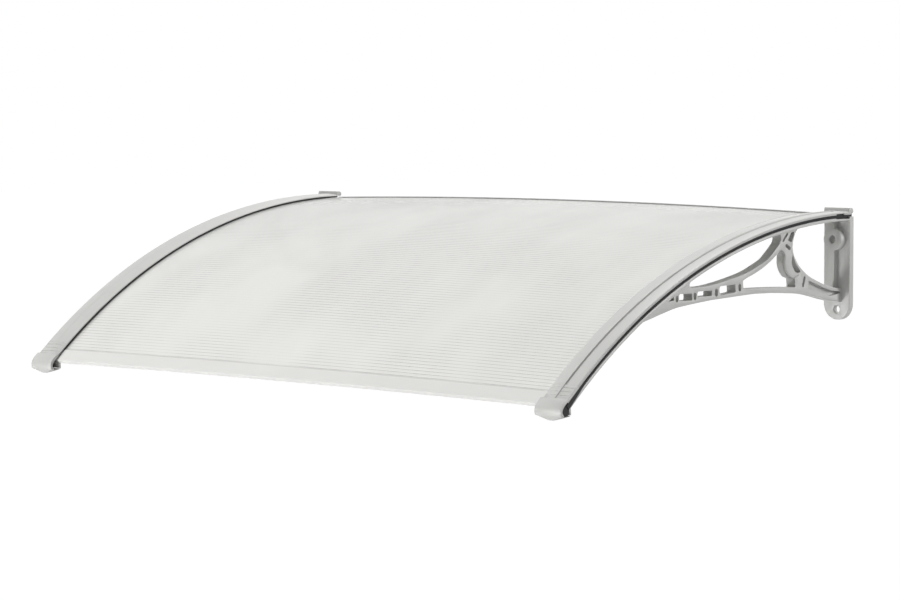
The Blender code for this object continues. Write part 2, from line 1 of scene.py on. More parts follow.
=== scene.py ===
# %% [markdown]
# # An arched door canopy
#
# The object is a small roof for over a house door. A clear twin-wall polycarbonate sheet is bent to an arch
# and clamped at both ends between a moulded plastic bracket and a cover strip. This lesson dresses the packed
# CAD model for a picture. The CAD frame gives the true sizes, so every piece here is made in metres and lands
# in its place with no fitting. The wall is the plane Y = 0, the canopy reaches out towards -Y, and Z is up.

# %% Load the fixed frame
import math
import bmesh
import bpy
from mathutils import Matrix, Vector


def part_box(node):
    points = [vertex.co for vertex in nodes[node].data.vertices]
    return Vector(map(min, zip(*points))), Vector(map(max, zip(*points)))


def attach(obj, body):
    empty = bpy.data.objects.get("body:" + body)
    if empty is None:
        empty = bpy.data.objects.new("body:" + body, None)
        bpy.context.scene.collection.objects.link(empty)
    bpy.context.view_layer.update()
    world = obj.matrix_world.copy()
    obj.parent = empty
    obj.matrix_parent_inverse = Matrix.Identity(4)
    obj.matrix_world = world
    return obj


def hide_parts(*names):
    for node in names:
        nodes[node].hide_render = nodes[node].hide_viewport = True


scene = bpy.context.scene
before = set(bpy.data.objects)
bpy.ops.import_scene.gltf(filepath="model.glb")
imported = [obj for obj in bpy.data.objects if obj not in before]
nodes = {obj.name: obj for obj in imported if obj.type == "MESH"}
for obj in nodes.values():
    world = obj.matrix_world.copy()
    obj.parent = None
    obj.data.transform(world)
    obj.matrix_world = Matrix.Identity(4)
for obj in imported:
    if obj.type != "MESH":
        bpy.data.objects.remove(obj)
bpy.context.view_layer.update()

# %% [markdown]
# ## Measures that the whole canopy shares
#
# Everything follows one arch: the sheet, the strips, the gaskets and the saddle flanges. A piece that follows
# an arch is easiest to make straight first, with Y as the length along the arch and Z as the height above it,
# and to bend at the end. So only the radius and the centre of the arch are needed here, and the rest comes
# from the boxes of the CAD nodes. The crown is how much the sheet rises in its middle, at the wall and at
# the front.

# %% Arch and helpers
ARCH_R = 0.941
ARCH_AHEAD = 0.0013
CROWN_REAR = 0.0094
CROWN_FRONT = 0.0036
CENTRE_Y = -ARCH_AHEAD
CENTRE_Z = -math.sqrt(ARCH_R ** 2 - ARCH_AHEAD ** 2)
MM = 0.001
sides = {"right": 1, "left": -1}


def mm(points):
    """Pairs that are written in millimetres, in metres."""
    return [(a * MM, b * MM) for a, b in points]


def box_of(name):
    """Lowest and highest corner of a CAD node."""
    low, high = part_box(name)
    return Vector(low), Vector(high)


def arch_place(y, z):
    """Length along the arch and height above it for a point of the CAD model."""
    turn = math.atan2(CENTRE_Y - y, z - CENTRE_Z)
    return turn * ARCH_R, math.hypot(CENTRE_Y - y, z - CENTRE_Z) - ARCH_R


def arch_span(name):
    """Where a CAD node starts and ends along the arch, and its lowest and highest height above it."""
    places = [arch_place(v.co.y, v.co.z) for v in nodes[name].data.vertices]
    along = [p[0] for p in places]
    above = [p[1] for p in places]
    return min(along), max(along), min(above), max(above)


SHEET_HALF = box_of("sheet")[1].x
s_rear, s_front = arch_span("sheet")[:2]
print("sheet along the arch:", round(s_rear, 4), "to", round(s_front, 4), "half width", round(SHEET_HALF, 4))

# %% [markdown]
# ## Nodes in code
#
# Materials and Geometry Nodes trees are both graphs of nodes. One small function adds a node, sets its
# options and fills or links its inputs, which keeps the graphs short to read. Colours are written as the
# usual sRGB hex codes. Blender calculates in linear light, so one function turns them round.

# %% Node and colour helpers


def add(tree, kind, inputs=None, **settings):
    """Add a node. An input that is given a socket is linked, and any other value is set."""
    node = tree.nodes.new(kind)
    for key, value in settings.items():
        setattr(node, key, value)
    for key, value in (inputs or {}).items():
        if isinstance(value, bpy.types.NodeSocket):
            tree.links.new(value, node.inputs[key])
        else:
            node.inputs[key].default_value = value
    return node


def linear(code):
    """An sRGB hex colour as linear RGBA."""
    values = [int(code[i:i + 2], 16) / 255 for i in (1, 3, 5)]
    return [v / 12.92 if v <= 0.04045 else ((v + 0.055) / 1.055) ** 2.4 for v in values] + [1.0]


def new_material(name, **principled):
    """A material with a Principled shader, whose plain values are set on its own sockets."""
    made = bpy.data.materials.new(name)
    made.use_nodes = True
    shader = made.node_tree.nodes["Principled BSDF"]
    for key, value in principled.items():
        shader.inputs[key.replace("_", " ")].default_value = value
    return made, made.node_tree, shader


def object_noise(tree, size_mm, detail=2.0, stretch=(1, 1, 1)):
    """Noise in object space, whose patches are about size_mm across."""
    where = add(tree, "ShaderNodeTexCoord")
    spread = add(tree, "ShaderNodeMapping", {"Vector": where.outputs["Object"], "Scale": stretch})
    return add(tree, "ShaderNodeTexNoise", {"Vector": spread.outputs["Vector"],
                                            "Scale": 1000 / size_mm, "Detail": detail}).outputs["Fac"]


def two_tones(tree, shader, mix, one, other):
    """A base colour that wanders between two close tones."""
    tone = add(tree, "ShaderNodeMixRGB", {"Fac": mix, "Color1": linear(one), "Color2": linear(other)})
    tree.links.new(tone.outputs["Color"], shader.inputs["Base Color"])


def bumped(tree, shader, height, strength, depth):
    """Relief too fine to model, as deep as depth where strength is 1."""
    bump = add(tree, "ShaderNodeBump", {"Height": height, "Strength": strength, "Distance": depth})
    tree.links.new(bump.outputs["Normal"], shader.inputs["Normal"])


# %% [markdown]
# ## Moulded ASA plastic
#
# Brackets, cover strips and caps are injection moulded from a light grey plastic that stands up to weather,
# usually ASA. The steel mould is spark eroded, which leaves a very fine even grain, so highlights are broad
# and soft. Colour hardly varies, but the flow of the melt leaves faint cloudy patches some centimetres
# across. The real grain is 0.1 to 0.2 mm and would not show, so it is drawn at 1.2 mm and kept very shallow.
# The same grain drives the roughness, because a spark-eroded surface is a little glossier on its high spots.

# %% Grey moulded plastic
GRAIN_MM = 1.2
CLOUD_MM = 45
GRAIN_DEPTH = 0.2 * MM
asa, tree, shader = new_material("moulded_asa_grey", IOR=1.52)
two_tones(tree, shader, object_noise(tree, CLOUD_MM), "#BBBBB9", "#C3C3C0")
grain = object_noise(tree, GRAIN_MM, 3.0)
rough = add(tree, "ShaderNodeMapRange", {"Value": grain, "To Min": 0.38, "To Max": 0.50})
tree.links.new(rough.outputs["Result"], shader.inputs["Roughness"])
bumped(tree, shader, grain, 0.12, GRAIN_DEPTH)
print("material:", asa.name)

# %% [markdown]
# ## EPDM rubber
#
# The gaskets are extruded EPDM rubber. It is black, nearly matt, and has fine die lines along its length that
# catch a little light. The side gaskets stand proud between flange and strip and read as a thin black line.

# %% Black rubber
DUST_MM = 9
DIE_LINE_MM = 1.5
DIE_LINE_DEPTH = 0.2 * MM
rubber, tree, shader = new_material("epdm_rubber_black", Roughness=0.7, IOR=1.5)
two_tones(tree, shader, object_noise(tree, DUST_MM), "#0B0C0D", "#161718")
bumped(tree, shader, object_noise(tree, DIE_LINE_MM, 1.0, (1, 0.1, 1)), 0.2, DIE_LINE_DEPTH)
print("material:", rubber.name)

# %% [markdown]
# ## Twin-wall polycarbonate
#
# The sheet is extruded clear polycarbonate: two thin skins joined by a web every 6.5 mm. Seen through both
# skins and many webs it looks milky. Each web draws the skins in a little as it cools, and the shade along
# that dip is painted as a fine grey line on the skins. Skins, webs and lines are real geometry here, with a
# material each. Each material has a plain alpha, because light crosses four skin faces and several webs,
# and each crossing adds a little haze. The painted shade lines fade in and out over patches of some 20 cm,
# as the light that falls through the real sheet makes them do. Faint waves from the extrusion make the gloss
# uneven. Long streaks of whiter and greyer tone along the skins are painted reflections and shade.

# %% Clear skins, webs and sink lines
PC_IOR = 1.585
FLUTE_MM = 6.5
REFLECTION_STREAK_MM = 90
WEB_HAZE_MM = 40
LIGHT_PATCH_MM = 220
WAVE_DEPTH = 0.3 * MM
skin_pc, tree, shader = new_material("extruded_polycarbonate_skin", Roughness=0.16, IOR=PC_IOR, Alpha=0.52)
# Painted reflections and shade: long streaks of whiter and greyer tone that run from the wall to the front.
two_tones(tree, shader, object_noise(tree, REFLECTION_STREAK_MM, 2.0, (1, 0.03, 0.03)), "#F4F4F1", "#FEFEFB")
bumped(tree, shader, object_noise(tree, FLUTE_MM, 1.0, (0.05, 1, 1)), 0.03, WAVE_DEPTH)

web_pc, tree, shader = new_material("extruded_polycarbonate_web", Roughness=0.2, IOR=PC_IOR, Alpha=0.22)
two_tones(tree, shader, object_noise(tree, WEB_HAZE_MM, 1.0, (0.1, 1, 1)), "#ECEDEA", "#F4F5F2")

# Painted shade: grey lines over the webs, which fade in and out over patches of light.
sink_shade_pc, tree, shader = new_material("polycarbonate_painted_sink_shade_line", Roughness=0.3, IOR=PC_IOR,
                                     Alpha=0.45)
light_patches = add(tree, "ShaderNodeMapRange", {"Value": object_noise(tree, LIGHT_PATCH_MM), "From Min": 0.38,
                                         "From Max": 0.62})
two_tones(tree, shader, light_patches.outputs["Result"], "#828380", "#F0F0ED")
print("materials:", skin_pc.name, web_pc.name, sink_shade_pc.name)

# %% [markdown]
# ## Edging, seal and screws
#
# The front edging is a U-shaped profile of frosted polycarbonate, whiter and denser than the sheet. The seal
# at the wall is soft grey PVC. The clamp screws are zinc-plated steel, which is a bluish metal with a slight
# bloom.

# %% Edging, seal and steel
EDGE_HAZE_MM = 30
SEAL_HAZE_MM = 12
BLOOM_MM = 2.0
edge_pc, tree, shader = new_material("frosted_polycarbonate_edging", Roughness=0.32, IOR=PC_IOR, Alpha=0.86)
two_tones(tree, shader, object_noise(tree, EDGE_HAZE_MM, 2.0, (0.2, 1, 1)), "#E0E0DD", "#E9E9E6")

seal_pvc, tree, shader = new_material("soft_pvc_seal_grey", Roughness=0.55, IOR=1.53)
two_tones(tree, shader, object_noise(tree, SEAL_HAZE_MM), "#A8A9A7", "#B4B5B3")

zinc, tree, shader = new_material("zinc_plated_steel", Metallic=1.0, Roughness=0.35)
two_tones(tree, shader, object_noise(tree, BLOOM_MM), "#B9BEC2", "#CDD1D3")
print("materials:", edge_pc.name, seal_pvc.name, zinc.name)

# %% [markdown]
# ## Bending straight pieces to the arch
#
# A bend could be done with the Simple Deform modifier, with a Curve modifier or point by point in Python. A
# small Geometry Nodes group is clearer, because the rule is only two lines: the angle is the length along the
# arch over its radius, and the height adds to the radius. The same group adds the crown, the slight rise of
# the sheet between the brackets, which falls off with the square of the distance from the middle.

# %% Node group: bend to the arch


def sockets(group, names):
    """Float inputs of a group, with their defaults."""
    for name, value in names:
        group.interface.new_socket(name, in_out="INPUT", socket_type="NodeSocketFloat").default_value = value


def math_node(tree, operation, a, b=0.0):
    """The output of a Math node."""
    return add(tree, "ShaderNodeMath", {0: a, 1: b}, operation=operation).outputs[0]


bend = bpy.data.node_groups.new("bend_to_arch", "GeometryNodeTree")
bend.interface.new_socket("Geometry", in_out="INPUT", socket_type="NodeSocketGeometry")
sockets(bend, [("Radius", ARCH_R), ("Centre Y", CENTRE_Y), ("Centre Z", CENTRE_Z), ("Half Width", SHEET_HALF),
               ("Crown Rear", 0.0), ("Crown Front", 0.0), ("Length", s_front)])
bend.interface.new_socket("Geometry", in_out="OUTPUT", socket_type="NodeSocketGeometry")
given = add(bend, "NodeGroupInput").outputs
place = add(bend, "GeometryNodeInputPosition").outputs[0]
flat = add(bend, "ShaderNodeSeparateXYZ", {0: place}).outputs
turn = math_node(bend, "DIVIDE", flat["Y"], given["Radius"])
reach = math_node(bend, "ADD", flat["Z"], given["Radius"])
new_y = math_node(bend, "SUBTRACT", given["Centre Y"],
                  math_node(bend, "MULTIPLY", reach, math_node(bend, "SINE", turn)))
arch_z = math_node(bend, "ADD", given["Centre Z"],
                   math_node(bend, "MULTIPLY", reach, math_node(bend, "COSINE", turn)))
rise = add(bend, "ShaderNodeMapRange", {"Value": flat["Y"], "From Min": 0.0, "From Max": given["Length"],
                                        "To Min": given["Crown Rear"], "To Max": given["Crown Front"]})
across = math_node(bend, "POWER", math_node(bend, "ABSOLUTE", math_node(bend, "DIVIDE", flat["X"],
                                                                        given["Half Width"])), 2.0)
falloff = math_node(bend, "MAXIMUM", math_node(bend, "SUBTRACT", 1.0, across), 0.0)
crown = math_node(bend, "MULTIPLY", rise.outputs["Result"], falloff)
bent_place = add(bend, "ShaderNodeCombineXYZ", {"X": flat["X"], "Y": new_y,
                                                "Z": math_node(bend, "ADD", arch_z, crown)})
moved = add(bend, "GeometryNodeSetPosition", {"Geometry": given["Geometry"],
                                              "Position": bent_place.outputs["Vector"]})
add(bend, "NodeGroupOutput", {"Geometry": moved.outputs["Geometry"]})


def identifier(tree, name):
    """The identifier of a tree's input socket, which is what a modifier is set by."""
    return next(item.identifier for item in tree.interface.items_tree
                if item.name == name and item.in_out == "INPUT")


def settle(obj, name, smooth_deg=35):
    """Turn the evaluated object into a plain mesh of the same name at the origin, smooth up to an angle."""
    bpy.context.view_layer.update()
    graph = bpy.context.evaluated_depsgraph_get()
    mesh = bpy.data.meshes.new_from_object(obj.evaluated_get(graph))
    mesh.name = name
    bpy.data.objects.remove(obj, do_unlink=True)
    mesh.shade_smooth()
    mesh.set_sharp_from_angle(angle=math.radians(smooth_deg))
    piece = bpy.data.objects.new(name, mesh)
    scene.collection.objects.link(piece)
    return piece


def bent(obj, name, crown=False, smooth_deg=35):
    """Bend a straight piece to the arch, with or without the crown."""
    modifier = obj.modifiers.new("bend", "NODES")
    modifier.node_group = bend
    if crown:
        modifier[identifier(bend, "Crown Rear")] = CROWN_REAR
        modifier[identifier(bend, "Crown Front")] = CROWN_FRONT
    return settle(obj, name, smooth_deg)


def stands_for(piece, *names):
    """Ride on the only body and stand for CAD nodes, which are hidden."""
    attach(piece, "root")
    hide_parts(*names)
    print(piece.name, "faces", len(piece.data.polygons))


print("bend group nodes:", len(bend.nodes))

# %% [markdown]
# ## The twin-wall sheet
#
# The real sheet comes out of an extruder as two skins and a row of webs. A photograph of such a sheet gets
# its character from the webs, so they are modelled. Geometry Nodes put one web on each point of a line and
# join them with two thin boxes for the skins, all still flat. Each web also draws the skins in a little as it
# cools, and the shade along that dip is painted as a fine grey line: every web has a very thin grey bar on
# either skin. The bend group then curves everything at once.

# %% Node tree: fluted sheet
SHEET_T = 4.0 * MM
SKIN_T = 0.5 * MM
CELLS = 108
# Width, height and rise of the painted shade bars over the webs.
SINK_SHADE_W = 0.7 * MM
SINK_SHADE_H = 0.1 * MM
SINK_SHADE_PROUD = 0.02 * MM
ACROSS = 29

fluted = bpy.data.node_groups.new("fluted_sheet", "GeometryNodeTree")
sockets(fluted, [("Width", 2 * SHEET_HALF), ("Length", s_front - s_rear), ("Start", s_rear),
                 ("Thickness", SHEET_T), ("Skin", SKIN_T), ("Sink Shade Width", SINK_SHADE_W), ("Sink Shade Height", SINK_SHADE_H),
                 ("Sink Shade Proud", SINK_SHADE_PROUD), ("Crown Rear", CROWN_REAR), ("Crown Front", CROWN_FRONT)])
fluted.interface.new_socket("Cells", in_out="INPUT", socket_type="NodeSocketInt").default_value = CELLS
for socket in ("Skin Material", "Web Material", "Sink Shade Material"):
    fluted.interface.new_socket(socket, in_out="INPUT", socket_type="NodeSocketMaterial")
fluted.interface.new_socket("Geometry", in_out="OUTPUT", socket_type="NodeSocketGeometry")
given = add(fluted, "NodeGroupInput").outputs
middle = math_node(fluted, "ADD", given["Start"], math_node(fluted, "MULTIPLY", given["Length"], 0.5))
skin_size = add(fluted, "ShaderNodeCombineXYZ", {"X": given["Width"], "Y": given["Length"],
                                                 "Z": given["Skin"]})
slab = add(fluted, "GeometryNodeMeshCube", {"Size": skin_size.outputs[0], "Vertices X": ACROSS,
                                            "Vertices Y": 2 * CELLS + 1, "Vertices Z": 2})
half_skin = math_node(fluted, "MULTIPLY", given["Skin"], 0.5)
both = add(fluted, "GeometryNodeJoinGeometry")
for depth in (half_skin, math_node(fluted, "SUBTRACT", given["Thickness"], half_skin)):
    shift = add(fluted, "ShaderNodeCombineXYZ", {"Y": middle,
                                                 "Z": math_node(fluted, "MULTIPLY", depth, -1.0)})
    skin = add(fluted, "GeometryNodeTransform", {"Geometry": slab.outputs["Mesh"],
                                                 "Translation": shift.outputs[0]})
    fluted.links.new(skin.outputs[0], both.inputs[0])
skin_set = add(fluted, "GeometryNodeSetMaterial", {"Geometry": both.outputs[0],
                                                   "Material": given["Skin Material"]})
pitch = math_node(fluted, "DIVIDE", math_node(fluted, "SUBTRACT", given["Length"], given["Skin"]),
                  given["Cells"])
first = add(fluted, "ShaderNodeCombineXYZ", {"Y": math_node(fluted, "ADD", given["Start"], half_skin),
                                             "Z": math_node(fluted, "MULTIPLY", given["Thickness"], -0.5)})
offset = add(fluted, "ShaderNodeCombineXYZ", {"Y": pitch})
line = add(fluted, "GeometryNodeMeshLine", {"Count": math_node(fluted, "ADD", given["Cells"], 1.0),
                                            "Start Location": first.outputs[0], "Offset": offset.outputs[0]})
inner = math_node(fluted, "SUBTRACT", given["Thickness"], math_node(fluted, "MULTIPLY", given["Skin"], 2.0))
web_size = add(fluted, "ShaderNodeCombineXYZ", {"X": given["Width"], "Y": given["Skin"], "Z": inner})
web = add(fluted, "GeometryNodeMeshCube", {"Size": web_size.outputs[0], "Vertices X": ACROSS,
                                           "Vertices Y": 2, "Vertices Z": 2})
webs = add(fluted, "GeometryNodeInstanceOnPoints", {"Points": line.outputs["Mesh"],
                                                    "Instance": web.outputs["Mesh"]})
real_webs = add(fluted, "GeometryNodeRealizeInstances", {"Geometry": webs.outputs[0]})
web_set = add(fluted, "GeometryNodeSetMaterial", {"Geometry": real_webs.outputs[0],
                                                  "Material": given["Web Material"]})
# Painted shade: a thin grey bar on either skin over each web.
sink_shade_size = add(fluted, "ShaderNodeCombineXYZ", {"X": given["Width"], "Y": given["Sink Shade Width"],
                                                 "Z": given["Sink Shade Height"]})
sink_shade_bar = add(fluted, "GeometryNodeMeshCube", {"Size": sink_shade_size.outputs[0], "Vertices X": ACROSS,
                                            "Vertices Y": 2, "Vertices Z": 2})
between = math_node(fluted, "SUBTRACT", given["Thickness"], given["Sink Shade Height"])
reach_up = math_node(fluted, "ADD", math_node(fluted, "MULTIPLY", between, 0.5), given["Sink Shade Proud"])
sink_shade_pair = add(fluted, "GeometryNodeJoinGeometry")
for way in (1.0, -1.0):
    lift = add(fluted, "ShaderNodeCombineXYZ", {"Z": math_node(fluted, "MULTIPLY", reach_up, way)})
    lifted = add(fluted, "GeometryNodeTransform", {"Geometry": sink_shade_bar.outputs["Mesh"],
                                                   "Translation": lift.outputs[0]})
    fluted.links.new(lifted.outputs[0], sink_shade_pair.inputs[0])
sink_shades = add(fluted, "GeometryNodeInstanceOnPoints", {"Points": line.outputs["Mesh"],
                                                     "Instance": sink_shade_pair.outputs[0]})
real_sink_shades = add(fluted, "GeometryNodeRealizeInstances", {"Geometry": sink_shades.outputs[0]})
sink_shade_set = add(fluted, "GeometryNodeSetMaterial", {"Geometry": real_sink_shades.outputs[0],
                                                   "Material": given["Sink Shade Material"]})
joined = add(fluted, "GeometryNodeJoinGeometry")
for layer in (skin_set, web_set, sink_shade_set):
    fluted.links.new(layer.outputs[0], joined.inputs[0])
curved = add(fluted, "GeometryNodeGroup", node_tree=bend)
fluted.links.new(joined.outputs[0], curved.inputs["Geometry"])
for name in ("Crown Rear", "Crown Front"):
    fluted.links.new(given[name], curved.inputs[name])
for name, value in (("Radius", ARCH_R), ("Centre Y", CENTRE_Y), ("Centre Z", CENTRE_Z),
                    ("Half Width", SHEET_HALF), ("Length", s_front)):
    curved.inputs[name].default_value = value
add(fluted, "NodeGroupOutput", {"Geometry": curved.outputs[0]})

# %% Make the sheet
blank = bpy.data.objects.new("sheet_blank", bpy.data.meshes.new("sheet_blank"))
scene.collection.objects.link(blank)
modifier = blank.modifiers.new("sheet", "NODES")
modifier.node_group = fluted
modifier[identifier(fluted, "Skin Material")] = skin_pc
modifier[identifier(fluted, "Web Material")] = web_pc
modifier[identifier(fluted, "Sink Shade Material")] = sink_shade_pc
stands_for(settle(blank, "twin_wall_sheet", smooth_deg=30), "sheet")

# %% [markdown]
# ## Straight profiles
#
# Cover strips, gaskets, edging and seal all have one cross-section from end to end. In a real factory they
# are extruded or moulded lengthwise, so here a section outline is drawn once and pushed along Y in short
# steps. Its corners are rounded in the drawing, which costs far fewer faces than a bevel afterwards.

# %% Profile helpers
ARCH_STEP = 6 * MM
WIDE_STEP = 30 * MM
CUT_SHARE = 0.45


def rounded(points, radii, steps=3):
    """A closed outline with its corners rounded. One radius serves all corners, or each has its own."""
    if not isinstance(radii, (list, tuple)):
        radii = [radii] * len(points)
    out = []
    for i, radius in enumerate(radii):
        here = Vector(points[i])
        back = Vector(points[i - 1]) - here
        ahead = Vector(points[(i + 1) % len(points)]) - here
        cut = min(radius, back.length * CUT_SHARE, ahead.length * CUT_SHARE)
        if cut < 1e-6:
            out.append(tuple(here))
            continue
        a = here + back.normalized() * cut
        b = here + ahead.normalized() * cut
        for k in range(steps + 1):
            t = k / steps
            out.append(tuple(a.lerp(here, t).lerp(here.lerp(b, t), t)))
    return out


def bar(name, section, start, end, material, step=ARCH_STEP, lengthwise=True, mirror=1):
    """A straight bar. Its section is (X, height) if it runs lengthwise, and else (along the arch, height)."""
    count = max(1, round((end - start) / step))
    bm = bmesh.new()
    rings = []
    for k in range(count + 1):
        there = start + (end - start) * k / count
        if lengthwise:
            rings.append([bm.verts.new((mirror * a, there, h)) for a, h in section])
        else:
            rings.append([bm.verts.new((there, a, h)) for a, h in section])
    for one, two in zip(rings, rings[1:]):
        for k in range(len(section)):
            bm.faces.new((one[k - 1], one[k], two[k], two[k - 1]))
    bm.faces.new(rings[0])
    bm.faces.new(rings[-1])
    bmesh.ops.recalc_face_normals(bm, faces=bm.faces)
    mesh = bpy.data.meshes.new(name)
    bm.to_mesh(mesh)
    bm.free()
    mesh.materials.append(material)
    obj = bpy.data.objects.new(name, mesh)
    scene.collection.objects.link(obj)
    return obj


# %% [markdown]
# ## Cover strips
#
# A cover strip is a flat moulding that screws down over the end of the sheet. Its inner half lies a little
# higher than its outer half, and the narrow groove between them shows as a dark line along the whole strip.
# The outer lip that grips the side gasket stops short of the wall, so the strip is made as one bar, and the
# lip is a second bar that is joined to it.

# %% Make the cover strips
XI, XO = (corner.x for corner in box_of("cover_strip_right"))
INNER_HALF = 25.5 * MM
STEP_X = XI + INNER_HALF
STRIP_LOW = 4.0 * MM
LIP_LOW = 2.3 * MM
LIP_TOP = STRIP_LOW + 0.2 * MM
LIP_W = 3.0 * MM
LIP_START = 40.5 * MM
strip_rear, strip_front = arch_span("cover_strip_right")[:2]
RIDGE = 8.1 * MM
GROOVE_FLOOR = 5.6 * MM
strip_section = rounded(
    [(XI, STRIP_LOW), (XI, 5.8 * MM), (STEP_X - 1.1 * MM, RIDGE), (STEP_X - 0.7 * MM, GROOVE_FLOOR),
     (STEP_X + 0.8 * MM, GROOVE_FLOOR), (STEP_X + 3.4 * MM, 6.8 * MM), (XO - 1.4 * MM, 6.4 * MM),
     (XO, 5.2 * MM), (XO, STRIP_LOW)],
    [radius * MM for radius in (0.1, 0.9, 0.4, 0.2, 0.2, 1.2, 1.6, 1.2, 0.0)])
lip_section = rounded([(XO, LIP_TOP), (XO, LIP_LOW), (XO - LIP_W, LIP_LOW), (XO - LIP_W, LIP_TOP)],
                      [0, 0.5 * MM, 0.3 * MM, 0])


def joined_bars(name, parts, material):
    """One object from several bars of one material."""
    bm = bmesh.new()
    for part in parts:
        bm.from_mesh(part.data)
        bpy.data.objects.remove(part, do_unlink=True)
    mesh = bpy.data.meshes.new(name)
    bm.to_mesh(mesh)
    bm.free()
    mesh.materials.append(material)
    whole = bpy.data.objects.new(name, mesh)
    scene.collection.objects.link(whole)
    return whole


for side, mirror in sides.items():
    name = "cover_strip_" + side
    parts = [bar(name + "_top", strip_section, strip_rear, strip_front, asa, mirror=mirror),
             bar(name + "_lip", lip_section, LIP_START, strip_front, asa, mirror=mirror)]
    stands_for(bent(joined_bars(name, parts, asa), "strip_" + side, smooth_deg=25), name)

# %% [markdown]
# ## Gaskets, front edging and wall seal
#
# The side gaskets are square cords of rubber between flange and strip. At its front end each has a cheek that
# widens on the flange's outer side, and a pad of black rubber that fills the hollow of the cap's nose, so
# that
# the hollow reads dark: painted shade. Both are outlines of length along the arch, counted from the arm's
# end, and height above it. The lip gaskets close the strip's inner edge on the sheet. The front edging and
# the wall seal are U-shaped and hug the sheet's edges, so they follow its crown as well as its arch.

# %% Make the gaskets
ARM_END = arch_span("side_gasket_right")[1] + 1.0 * MM
cheek = mm([(-48, 2.2), (-40, 2.2), (-32, 2.2), (-24, 2.2), (-16, 2.2), (-8, 2.2), (0.6, 2.2), (0.6, -5.2),
            (-8, -5.0), (-16, -4.6), (-24, -4.0), (-32, -3.3), (-40, -2.6), (-48, -2.0)])
# Painted shade: a black pad that fills the nose's hollow so that it reads dark.
shade_pad = mm([(0.4, 3.6), (9.9, 2.6), (12.9, -0.3), (13.2, -6.4), (10.0, -9.2), (5.6, -11.3), (0.5, -5.4)])
CHEEK_X = (XO - 2.0 * MM, XO + 0.35 * MM)
SHADE_PAD_X = (XI + 12.0 * MM, XO - 0.8 * MM)


def gasket_end(name, mirror):
    """The cheek and the shade pad of one side gasket, still straight. The pad's black darkens the nose's
    hollow as painted shade.
    """
    ends = []
    for outline, (near, far) in ((cheek, CHEEK_X), (shade_pad, SHADE_PAD_X)):
        section = [(ARM_END + along, height) for along, height in outline]
        ends.append(bar(name + "_end", section, mirror * near, mirror * far, rubber, WIDE_STEP,
                        lengthwise=False))
    return ends


for side, mirror in sides.items():
    for kind, radius in (("side_gasket", 1.2 * MM), ("lip_gasket", 0.6 * MM)):
        node = kind + "_" + side
        low, high = box_of(kind + "_right")
        start, end, bottom, top = arch_span(node)
        section = rounded([(low.x, bottom), (high.x, bottom), (high.x, top), (low.x, top)], radius)
        cord = bar(node + "_bar", section, start, end, rubber, mirror=mirror)
        if kind == "side_gasket":
            cord = joined_bars(node, [cord] + gasket_end(node, mirror), rubber)
        stands_for(bent(cord, "rubber_" + node, smooth_deg=50), node)

# %% Make the edging and the seal
EDGE_T = 1.5 * MM
GAP = 0.3 * MM
EDGE_BACK = 24.3 * MM
EDGE_UNDER = 16.3 * MM
edge_half = box_of("front_profile")[1].x
edge_front = arch_span("front_profile")[1]
under = SHEET_T + GAP
outline = [(edge_front - EDGE_BACK, GAP), (edge_front - EDGE_BACK, GAP + EDGE_T), (edge_front, GAP + EDGE_T),
           (edge_front, -under - EDGE_T), (edge_front - EDGE_UNDER, -under - EDGE_T),
           (edge_front - EDGE_UNDER, -under), (edge_front - EDGE_T, -under), (edge_front - EDGE_T, GAP)]
section = rounded(outline, [radius * MM for radius in (0.1, 0.5, 0.9, 0.9, 0.4, 0.1, 0, 0)])
edging = bar("edging_bar", section, -edge_half, edge_half, edge_pc, WIDE_STEP, lengthwise=False)
stands_for(bent(edging, "front_edging", crown=True), "front_profile")

SEAL_T = 1.2 * MM
SEAL_LONG = 9.0 * MM
seal_half = box_of("rear_seal")[1].x
seal_back = arch_span("rear_seal")[0]
outline = [(seal_back + SEAL_LONG, GAP), (seal_back + SEAL_LONG, GAP + SEAL_T), (seal_back, GAP + SEAL_T),
           (seal_back, -under - SEAL_T), (seal_back + SEAL_LONG, -under - SEAL_T),
           (seal_back + SEAL_LONG, -under), (seal_back + SEAL_T, -under), (seal_back + SEAL_T, GAP)]
section = rounded(outline, [radius * MM for radius in (0.1, 0.4, 0.4, 0.4, 0.4, 0.1, 0, 0)])
seal = bar("seal_bar", section, -seal_half, seal_half, seal_pvc, WIDE_STEP, lengthwise=False)
stands_for(bent(seal, "wall_seal", crown=True), "rear_seal")

# %% [markdown]
# ## Brackets and caps
#
# These are the moulded parts with real three-dimensional shape. Their form is already right in the CAD model,
# but its edges are perfectly sharp, and no moulding has sharp edges. A copy of each CAD mesh is merged, its
# flat faces are dissolved, and a Bevel modifier rounds every edge, so that each catches a thin highlight. The
# front caps get the smallest rounding, because their cross grooves are shallow and would blur.

# %% Round the moulded parts
SAME_POINT = 0.01 * MM
FLAT_DEG = 0.2
BEVEL_DEG = 35
# kind of CAD node: start of the piece's name, radius of its edges
MOULDINGS = {"bracket": ("moulded_bracket_", 0.6 * MM),
             "front_cap": ("nose_cap_", 0.15 * MM),
             "rear_cap": ("wall_cap_", 0.5 * MM)}


